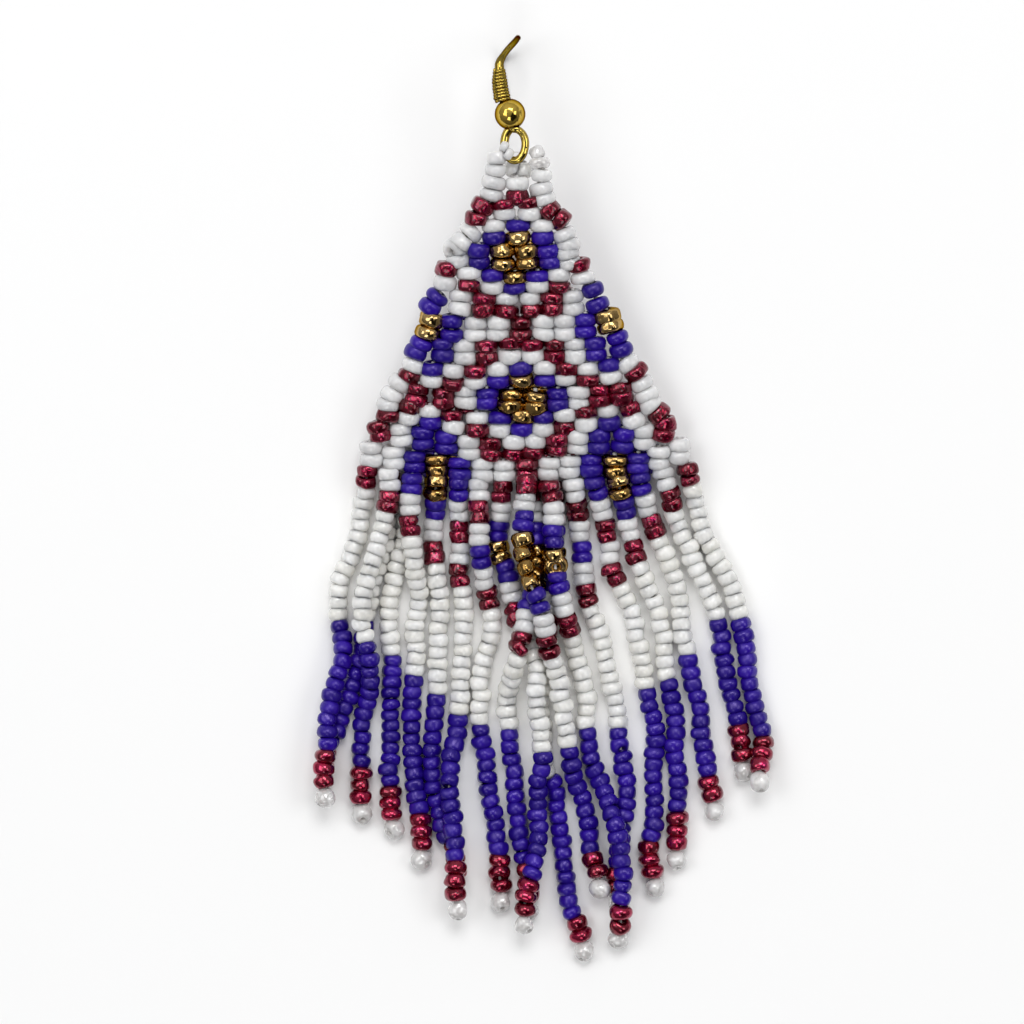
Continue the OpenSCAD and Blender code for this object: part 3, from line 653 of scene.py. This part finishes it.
def blue_glass():
    """Violet blue glass with a satin skin."""
    m, nt, p = new_material("blue_beads")
    s = add_attr(nt)
    col = ramp(nt, s.outputs[0], [(0, (0.0090, 0.0009, 0.160)), (0.5, (0.0130, 0.0015, 0.205)), (1, (0.0200, 0.0028, 0.265))]).outputs[0]
    # painted shade: the colour much darker towards the hole and the lips where the beads meet, standing in for the
    # shade in those recesses
    painted_hole_shade = ramp(nt, s.outputs[2], [(0.0, (0.3, 0.3, 0.35)), (0.6, (0.85, 0.85, 0.9)), (1.0, (1, 1, 1))]).outputs[0]
    col = mix(nt, 1.0, col, painted_hole_shade, "MULTIPLY")
    n = noise(nt, 900.0, 2.0, 0.5, 0.4)
    cloud = ramp(nt, n.outputs[0], [(0.36, (0.82, 0.80, 0.86)), (0.64, (1.12, 1.15, 1.08))]).outputs[0]
    col = mix(nt, 1.0, col, cloud, "MULTIPLY")
    nt.links.new(col, p.inputs["Base Color"])
    rr = ramp(nt, s.outputs[1], [(0, (0.26,) * 3), (1, (0.37,) * 3)]).outputs[0]
    nt.links.new(rr, p.inputs["Roughness"])
    p.inputs["IOR"].default_value = 1.50
    p.inputs["Specular IOR Level"].default_value = 0.75
    p.inputs["Specular Tint"].default_value = (0.62, 0.48, 1.0, 1)
    bump(nt, p, noise(nt, 1500.0, 2.0).outputs[0], 0.45, 0.00005)
    return m


def red_glass(name, light, size, depth):
    """Red glass with a foil-like lining: a metallic body with bright and dark facets."""
    m, nt, p = new_material(name)
    s = add_attr(nt)
    base = ramp(nt, s.outputs[0], [(k / 2, tuple(light * v for v in c)) for k, c in enumerate(((0.140, 0.0004, 0.012), (0.190, 0.0008, 0.020), (0.250, 0.0016, 0.032)))]).outputs[0]
    n = noise(nt, size, 2.0, 0.5, 0.9)
    spark = ramp(nt, n.outputs[0], [(0.36, (0.70, 0.62, 0.66)), (0.50, (0.92, 0.92, 0.92)), (0.62, (1.15, 1.6, 1.4)), (0.72, (1.3, 7.0, 2.8))]).outputs[0]
    col = mix(nt, 1.0, base, spark, "MULTIPLY")
    nt.links.new(col, p.inputs["Base Color"])
    p.inputs["Metallic"].default_value = 0.86
    rr = ramp(nt, s.outputs[1], [(0, (0.13,) * 3), (1, (0.22,) * 3)]).outputs[0]
    nt.links.new(rr, p.inputs["Roughness"])
    p.inputs["Coat Weight"].default_value = 0.65
    p.inputs["Coat Roughness"].default_value = 0.04
    p.inputs["Coat IOR"].default_value = 1.5
    bump(nt, p, n.outputs[0], 1.0, depth)
    return m


def gold_glass():
    """Glass with a bronze gold coating."""
    m, nt, p = new_material("gold_beads")
    s = add_attr(nt)
    base = ramp(nt, s.outputs[0], [(0, (0.34, 0.205, 0.068)), (0.5, (0.43, 0.280, 0.105)), (1, (0.55, 0.385, 0.170))]).outputs[0]
    n = noise(nt, 1100.0, 2.0, 0.5, 0.5)
    spark = ramp(nt, n.outputs[0], [(0.36, (0.70, 0.64, 0.54)), (0.58, (1, 1, 1))]).outputs[0]
    col = mix(nt, 1.0, base, spark, "MULTIPLY")
    nt.links.new(col, p.inputs["Base Color"])
    p.inputs["Metallic"].default_value = 1.0
    p.inputs["Specular Tint"].default_value = (0.55, 0.40, 0.16, 1)
    rr = ramp(nt, s.outputs[1], [(0, (0.09,) * 3), (1, (0.16,) * 3)]).outputs[0]
    nt.links.new(rr, p.inputs["Roughness"])
    bump(nt, p, n.outputs[0], 0.8, 0.00014)
    return m


def clear_glass(name, through):
    """The pale translucent beads at the tips and beside the wire loop."""
    m, nt, p = new_material(name)
    s = add_attr(nt)
    col = ramp(nt, s.outputs[0], [(0, (0.92, 0.91, 0.91)), (1, (0.97, 0.965, 0.96))]).outputs[0]
    # painted shade: the colour a little darker towards the hole and its lips
    painted_hole_shade = ramp(nt, s.outputs[2], [(0.0, (0.84, 0.83, 0.82)), (0.35, (0.94, 0.94, 0.94)), (0.8, (1, 1, 1))]).outputs[0]
    col = mix(nt, 1.0, col, painted_hole_shade, "MULTIPLY")
    cloud = ramp(nt, noise(nt, 1100.0, 1.0, 0.5, 1.2).outputs[0], [(0.34, (0.78, 0.765, 0.755)), (0.47, (0.94, 0.93, 0.925)), (0.60, (1.03, 1.03, 1.03))]).outputs[0]
    col = mix(nt, 1.0, col, cloud, "MULTIPLY")
    nt.links.new(col, p.inputs["Base Color"])
    n = noise(nt, 700.0, 2.0)
    rr = ramp(nt, n.outputs[0], [(0.3, (0.06,) * 3), (0.7, (0.14,) * 3)]).outputs[0]
    nt.links.new(rr, p.inputs["Roughness"])
    p.inputs["IOR"].default_value = 1.36
    p.inputs["Transmission Weight"].default_value = through
    p.inputs["Coat Weight"].default_value = 1.0
    p.inputs["Coat IOR"].default_value = 1.75
    p.inputs["Coat Roughness"].default_value = 0.04
    p.inputs["Subsurface Weight"].default_value = 0.6
    p.inputs["Subsurface Radius"].default_value = (1.0, 1.0, 1.0)
    p.inputs["Subsurface Scale"].default_value = 0.0010
    bump(nt, p, noise(nt, 900.0, 2.0, 0.5, 0.8).outputs[0], 0.7, 0.00012)
    return m


def wire_metal(name, base, lo, hi, size, depth):
    m, nt, p = new_material(name)
    n = noise(nt, 420.0, 3.0, 0.6)
    col = ramp(nt, n.outputs[0], [(0.3, tuple(c * 0.72 for c in base)), (0.62, base)]).outputs[0]
    # painted shade: wire and ball darker where they face sideways or down, standing in for dark reflections on their
    # sides
    geo = nt.nodes.new("ShaderNodeNewGeometry")
    xyz = nt.nodes.new("ShaderNodeSeparateXYZ")
    nt.links.new(geo.outputs["Normal"], xyz.inputs[0])
    painted_side_shade = ramp(nt, xyz.outputs[2], [(0.0, (0.26, 0.22, 0.12)), (0.30, (0.36, 0.31, 0.20)), (0.72, (1, 1, 1))]).outputs[0]
    col = mix(nt, 1.0, col, painted_side_shade, "MULTIPLY")
    # painted shade: the wire darker further towards +Y, over the upper coil and the bend of the hook, standing in for a
    # dark reflection there
    tc = nt.nodes.new("ShaderNodeTexCoord")
    along = nt.nodes.new("ShaderNodeSeparateXYZ")
    nt.links.new(tc.outputs["Object"], along.inputs[0])
    place = maths(nt, "MULTIPLY_ADD", along.outputs[1], 100.0, -3.8)
    painted_upper_shade = ramp(nt, place, [(0.0, (1, 1, 1)), (0.06, (0.80, 0.78, 0.72)), (0.36, (0.72, 0.70, 0.62)), (0.50, (0.42, 0.41, 0.36)), (1.0, (0.42, 0.41, 0.36))]).outputs[0]
    col = mix(nt, 1.0, col, painted_upper_shade, "MULTIPLY")
    nt.links.new(col, p.inputs["Base Color"])
    p.inputs["Metallic"].default_value = 1.0
    p.inputs["Specular Tint"].default_value = (0.30, 0.22, 0.06, 1)
    fine = noise(nt, 2600.0, 2.0)
    rr = ramp(nt, fine.outputs[0], [(0.3, (lo,) * 3), (0.7, (hi,) * 3)]).outputs[0]
    nt.links.new(rr, p.inputs["Roughness"])
    bump(nt, p, noise(nt, size, 2.0, 0.5, 0.8).outputs[0], 0.9, depth)
    return m


def thread_material():
    m, nt, p = new_material("thread")
    n = noise(nt, 5000.0, 3.0)
    col = ramp(nt, n.outputs[0], [(0.3, (0.42, 0.41, 0.41)), (0.7, (0.60, 0.59, 0.58))]).outputs[0]
    nt.links.new(col, p.inputs["Base Color"])
    p.inputs["Roughness"].default_value = 0.8
    p.inputs["Sheen Weight"].default_value = 0.3
    bump(nt, p, n.outputs[0], 0.5, 0.00003)
    return m


WHITE = white_glass("white_beads_cool", [(0.60, 0.595, 0.60), (0.65, 0.645, 0.65), (0.70, 0.695, 0.695), (0.76, 0.755, 0.75)], 0.22, 0.6)
CREAM = white_glass("white_beads_cream", [(0.83, 0.805, 0.73), (0.86, 0.84, 0.775), (0.88, 0.86, 0.805), (0.89, 0.875, 0.84)], 0.22, 0.6)
BLUE = blue_glass()
RED = red_glass("red_beads", 1.0, 1150.0, 0.00017)
RED_END = red_glass("red_beads_end", 1.4, 800.0, 0.00012)
GOLD = gold_glass()
CLEAR = clear_glass("clear_beads", 0.45)
THREAD = thread_material()
WIRE = wire_metal("wire_gold", (0.62, 0.46, 0.100), 0.09, 0.18, 620.0, 0.00016)
BALL = wire_metal("ball_gold", (0.80, 0.55, 0.105), 0.09, 0.16, 520.0, 0.00026)
PANEL_KIND = dict(W=WHITE, B=BLUE, R=RED, G=GOLD, C=CLEAR)
FRINGE_KIND = dict(W=CREAM, B=BLUE, R=RED_END, G=GOLD, C=CLEAR)
SIZE = dict(W=1.06, B=1.04, R=1.05, G=1.14, C=1.0)
# beads that lie turned, so that the hole shows: degrees sideways and towards the viewer
TURNED = {("row_04", False, -9): (-55, 40), ("row_02", True, -7): (15, -14), ("strand_09", 7): (0, 66), ("strand_08", 9): (0, 40), ("strand_08", 6): (20, 5),
          ("strand_08", 7): (14, 25), ("strand_08", 8): (8, 12), ("strand_10", 24): (15, 45), ("strand_14", 24): (-20, 35),
          ("strand_06", 34): (0, 38), ("strand_07", 12): (40, 10), ("strand_07", 13): (25, 20), ("under_strand_03", 15): (-40, 10)}

# ---------------------------------------------------------------- the pieces


def place(o, slot, *nodes):
    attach(o, "root")
    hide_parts(*nodes)


def make_row(i):
    rng = np.random.default_rng(100 + i)
    b = Build()
    pairs = pressed_row(i)
    for up, lo in pairs:
        for q in (up, lo):
            if i == 0 and q["kind"] == "R":
                q["h"], q["c"] = q["h"] * 1.38, q["c"] + np.array([0.05, -0.32, -0.1])
            off = rng.normal(0, 0.045, 3)
            off[2] = rng.normal(0, 0.09)
            bead(b, rng, PANEL_KIND[q["kind"]], q["c"] + off, q["u"], q["d"] * SIZE[q["kind"]] * rng.uniform(0.96, 1.03),
                 q["h"] * rng.uniform(0.97, 1.03), q["kind"], turn=TURNED.get(("row_%02d" % (i + 1), q is lo, round(q["c"][0]))))
        a, c, u = up["c"], lo["c"], up["u"]
        sweep(b, THREAD, [a - u * up["h"] * 0.5, a, (a + c) / 2, c, c + u * lo["h"] * 0.5], 0.22, 8)
    for p, q in list(zip(pairs, pairs[1:]))[1:-1]:
        for k in (0, 1):
            e = (-1, 1)[k]
            a = p[k]["c"] + p[k]["u"] * e * p[k]["h"] * 0.40 - np.array([0, 0, 0.55])
            c = q[k]["c"] + q[k]["u"] * e * q[k]["h"] * 0.40 - np.array([0, 0, 0.55])
            sweep(b, PANEL_KIND[p[k]["kind"]], [a, (a + c) / 2, c], 0.34, 8)
    place(b.object("row_%02d_beads" % (i + 1)), "seed_beads", "row_%02d" % (i + 1))


def make_strand(n):
    s = STRANDS[n]
    node = "strand_%02d" % (n + 1) if n < 15 else "under_strand_%02d" % (n - 14)
    rng = np.random.default_rng(300 + n)
    b = Build()
    beads = strand_beads(s)
    for i, q in enumerate(beads):
        kinds = PANEL_KIND if i < len(s[0]) else FRINGE_KIND
        across = frame_of(q["u"], 0)
        off = across[0] * rng.normal(0, 0.075) + across[1] * rng.normal(0, 0.03)
        wide, tall = (0.99, 1.10) if i < len(s[0]) else (1.0, 1.26) if q["kind"] == "C" else (1.12 if q["kind"] == "R" else 1.045, 1.18 if q["kind"] == "W" else 1.12)
        wide *= SIZE[q["kind"]] if i < len(s[0]) else 0.84 if n in (3, 15) and i > len(beads) - 6 else 1
        turn = (rng.uniform(-60, 60), rng.uniform(15, 55)) if q["kind"] == "C" else TURNED.get((node, i))
        bead(b, rng, kinds[q["kind"]], q["c"] + off, q["u"], q["d"] * wide * rng.uniform(0.92, 1.05),
             q["h"] * tall * rng.uniform(0.92, 1.08), q["kind"] if i < len(s[0]) or q["kind"] == "C" else q["kind"].lower(),
             turn=turn)
    c = [q["c"] for q in beads]
    u0, u1 = beads[0]["u"], beads[-1]["u"]
    route = [c[0] - u0 * 0.5] + c + [c[-1] + u1 * 0.7]
    sweep(b, THREAD, catmull(route, 2), 0.15, 8)
    place(b.object(node + "_beads"), "seed_beads", node)


for i in range(13):
    make_row(i)
for n in range(19):
    make_strand(n)


def make_top():
    rng = np.random.default_rng(50)
    b = Build()
    moved = {0: (0.10, 0.0, 0.0), 1: (0.20, 0.0, 0.35), 3: (-0.20, -0.30, 0.35), 5: (-0.12, 0.0, 0.0), 6: (-0.18, -0.20, 0.0)}
    for i, t in enumerate(TOP):
        t = [v + m for v, m in zip(t, moved.get(i, (0, 0, 0)))] + list(t[3:])
        u = np.array(t[5:8], float)
        u /= np.linalg.norm(u)
        kind = CLEAR if i in (4, 5) else WHITE
        grow = (1.03, 1.28) if t[3] > 1 else (1.5, 1.5) if i == 3 else (1.35, 1.3)
        bead(b, rng, kind, np.array(t[:3], float), u, t[3] * grow[0], t[4] * grow[1], "W")
    pts = [np.array(t[:3], float) for t in TOP]
    row1 = row_beads(0)
    route = [row1[0][0]["c"], pts[0], pts[1], (pts[1] + pts[2]) / 2 + np.array([-0.05, 0.12, 0]), pts[2], pts[3],
             np.array(DIP), pts[4], pts[5], pts[6], row1[-1][0]["c"]]
    sweep(b, CREAM, catmull(route, 6), 0.04, 8)
    place(b.object("top_loop_beads"), "white_beads", "top_loop")
    b = Build()
    ends = []
    for c, u, d, h in BACK:
        u = np.array(u, float)
        u /= np.linalg.norm(u)
        bead(b, rng, CREAM, np.array(c, float), u, d * 1.5, h * 1.15, "w")
        ends.append((np.array(c, float), u, h))
    (a, ua, ha), (c, uc, hc) = ends
    sweep(b, THREAD, catmull([a + ua * ha * 0.6, a, a - ua * ha * 0.6, (a + c) / 2 + np.array([0, 0.75, 0]), c - uc * hc * 0.6, c, c + uc * hc * 0.6], 6), 0.12, 8)
    place(b.object("back_loop_beads"), "white_beads", "back_loop")


make_top()


def arc_pt(a):
    return np.array([a[0], a[1], LEG_Z + (FRONT_Z - LEG_Z) * (1 + math.sin(math.radians(a[2]))) / 2])


def loop_pt(p):
    return np.array([p[0], p[1], FRONT_Z - p[2]])


def make_wire():
    b = Build()
    leg = np.array([LEG_END[0], LEG_END[1], LEG_Z])
    arc = [arc_pt(a) for a in ARC]
    loop = [loop_pt(p) for p in LOOP]
    for k, dx, dy in ((1, -0.18, 0.06), (2, -0.13, 0.0), (3, -0.06, 0.0), (4, -0.08, 0.0), (5, -0.11, 0.0), (6, -0.08, 0.0)):
        loop[k] = loop[k] + np.array([dx, dy, 0.0])
    for k, dx, dy in ((8, 0.05, 0.0), (9, 0.08, 0.0), (10, 0.06, 0.0), (11, -0.06, 0.0), (12, -0.10, 0.0), (13, -0.06, 0.0)):
        loop[k] = loop[k] + np.array([dx, dy, -0.1])
    loop.append(np.array([-3.44, 36.04, FRONT_Z - 0.5]))
    for k, dx in enumerate((0, -0.12, -0.14, -0.10, -0.06, -0.02, -0.02, -0.03, -0.08, -0.10, -0.12, -0.10)):
        arc[k] = arc[k] + np.array([dx, 0, 0])
    route = np.concatenate([[leg, leg + (arc[0] - leg) * 0.35, leg + (arc[0] - leg) * 0.7], arc, [arc[-1] + (loop[0] - arc[-1]) * 0.5], loop])
    way = catmull(route, 7)
    step = np.arange(len(way)) / 7
    thick = WIRE_D / 2 * (np.interp(step, [0, 2, 6, 8, 10, 12, 13, 14, 15, 17, 24, 29], [1, 1, 1, 1, 0.98, 1.12, 1.35, 1.55, 1.3, 1.2, 1.32, 1.42])
                          + 0.02 * np.sin(step * 2.6))
    sweep(b, WIRE, way, WIRE_D / 2, 20, radii=thick)
    place(b.object("ear_wire_metal"), "gold_wire", "ear_wire")
    # the coil: one fine wire wound round the front length
    a, c = arc[-1], loop[0]
    u = c - a
    length = np.linalg.norm(u)
    u = u / length
    e1, e2 = frame_of(u, 0)
    n = 30 * COIL_TURNS
    side = np.array([-u[1], u[0], 0.0])
    side = side / np.linalg.norm(side) * (1 if u[1] < 0 else -1)
    pts, radii = [], []
    for i in range(n + 1):
        t = i / n
        ph = 2 * math.pi * COIL_TURNS * t
        rr = np.interp(t, [0, 0.14, 0.25, 0.42, 0.70, 0.91, 1], [0.42, 0.50, 0.55, 0.61, 0.63, 0.68, 0.62]) + 0.01 * math.sin(7.3 * t * 2 * math.pi)
        pts.append(a + side * np.interp(t, [0, 0.25, 0.42, 0.70, 0.91, 1], [-0.06, -0.10, -0.15, -0.13, -0.10, -0.04]) + u * (COIL_WIRE_D / 2 + t * (length - COIL_WIRE_D) + 0.012 * math.sin(41 * t)) + e1 * rr * math.cos(ph) + e2 * rr * math.sin(ph))
        radii.append(COIL_WIRE_D / 2 * (1.02 + 0.04 * math.sin(23 * t)))
    b = Build()
    sweep(b, WIRE, pts, COIL_WIRE_D / 2, 10, first=u, radii=radii)
    place(b.object("wire_coil_metal"), "gold_wire", "wire_coil")
    # the ball, with a lip turned in at each end of its hole
    v = loop[1] - loop[0]
    v = v / np.linalg.norm(v)
    ri = BALL_BORE_D / 2
    R = BALL_D / 2 * 1.075
    th0 = math.asin(ri / R)
    prof = []
    for i in range(33):
        th = th0 + (math.pi - 2 * th0) * i / 32
        prof.append((R * math.sin(th), -R * math.cos(th)))
    zi = R * math.cos(th0)
    prof += [(ri - 0.03, zi - 0.03), (ri - 0.05, zi * 0.5), (ri - 0.05, -zi * 0.5), (ri - 0.03, -zi + 0.03)]
    e1, e2 = frame_of(v, 0)
    seg = 56
    ph = np.linspace(0, 2 * np.pi, seg, endpoint=False)[:, None]
    rings = [np.array(BALL_C) + np.array([-0.07, 0.0, 0.0]) + z * v + rad * (np.cos(ph) * e1 + np.sin(ph) * e2) for rad, z in prof]
    b = Build()
    b.add(np.concatenate(rings), grid_faces(len(rings), seg, closed_v=True), BALL, (0.5, 0.5, 0.5, 1))
    place(b.object("ball_bead_metal"), "gold_wire", "ball_bead")


make_wire()

# ---------------------------------------------------------------- floor, light and camera


def make_floor():
    me = bpy.data.meshes.new("floor")
    s = 1.6
    me.from_pydata([(-s, -s, 0), (s, -s, 0), (s, s, 0), (-s, s, 0)], [], [(0, 1, 2, 3)])
    o = bpy.data.objects.new("floor", me)
    bpy.context.scene.collection.objects.link(o)
    m, nt, p = new_material("floor_white")
    n = noise(nt, 3.0, 2.0)
    col = ramp(nt, n.outputs[0], [(0.3, (0.89, 0.89, 0.89)), (0.7, (0.905, 0.905, 0.905))]).outputs[0]
    nt.links.new(col, p.inputs["Base Color"])
    p.inputs["Roughness"].default_value = 0.9
    p.inputs["Specular IOR Level"].default_value = 0.1
    me.materials.append(m)
    return o


make_floor()


def area(name, loc, size, power, target=(0, 0, 0), color=(1, 1, 1)):
    d = bpy.data.lights.new(name, "AREA")
    d.shape = "RECTANGLE"
    d.size, d.size_y = size
    d.energy = power
    d.color = color
    o = bpy.data.objects.new(name, d)
    o.location = loc
    o.rotation_mode = "QUATERNION"
    o.rotation_quaternion = (Vector(target) - Vector(loc)).to_track_quat("-Z", "Y")
    bpy.context.scene.collection.objects.link(o)
    return o


area("soft_top", (0.05, 0.45, 0.80), (0.46, 0.34), 3.4)
area("soft_left", (-0.55, 0.15, 0.75), (0.60, 0.46), 2.3)
area("soft_right", (0.62, 0.06, 0.75), (0.46, 0.40), 1.8)
area("soft_front", (-0.10, -0.55, 0.80), (0.36, 0.30), 1.1)

# an even studio sky, darker overhead where the camera is
world = bpy.data.worlds.new("studio")
bpy.context.scene.world = world
world.use_nodes = True
wt = world.node_tree
bg = wt.nodes["Background"]
tc = wt.nodes.new("ShaderNodeTexCoord")
xyz = wt.nodes.new("ShaderNodeSeparateXYZ")
wt.links.new(tc.outputs["Generated"], xyz.inputs[0])
up = ramp(wt, xyz.outputs[2], [(0.0, (0.55, 0.55, 0.555)), (0.5, (0.80, 0.80, 0.80)), (1.0, (1.0, 1.0, 1.0))])
back = ramp(wt, maths(wt, "MULTIPLY_ADD", xyz.outputs[1], 0.5, 0.5), [(0.0, (0.30, 0.30, 0.30)), (0.45, (0.60, 0.60, 0.60)), (1.0, (1.6, 1.6, 1.6))])
sky = mix(wt, 1.0, up.outputs[0], back.outputs[0], "MULTIPLY")
dot = wt.nodes.new("ShaderNodeVectorMath")
dot.operation = "DOT_PRODUCT"
wt.links.new(tc.outputs["Generated"], dot.inputs[0])
dot.inputs[1].default_value = (0.44, -0.38, 0.814)
gap = ramp(wt, dot.outputs["Value"], [(0.0, (1, 1, 1)), (0.86, (1, 1, 1)), (0.92, (0.04, 0.04, 0.04)), (1.0, (0.04, 0.04, 0.04))])
wt.links.new(mix(wt, 1.0, sky, gap.outputs[0], "MULTIPLY"), bg.inputs[0])
bg.inputs[1].default_value = 0.58

bpy.context.scene.view_settings.view_transform = "Standard"
bpy.context.scene.view_settings.look = "None"
bpy.context.scene.view_settings.exposure = 0.0
bpy.context.scene.view_settings.gamma = 1.0

cam = bpy.data.cameras.new("camera")
cam.sensor_width = 36.0
cam.lens = 126.6
cam.clip_start, cam.clip_end = 0.01, 10.0
cam_obj = bpy.data.objects.new("camera", cam)
cam_obj.location = ((-3.2 + SHIFT[0]) * MM, (-1.3 + SHIFT[1]) * MM, 0.360)
bpy.context.scene.collection.objects.link(cam_obj)
bpy.context.scene.camera = cam_obj

bpy.context.view_layer.update()
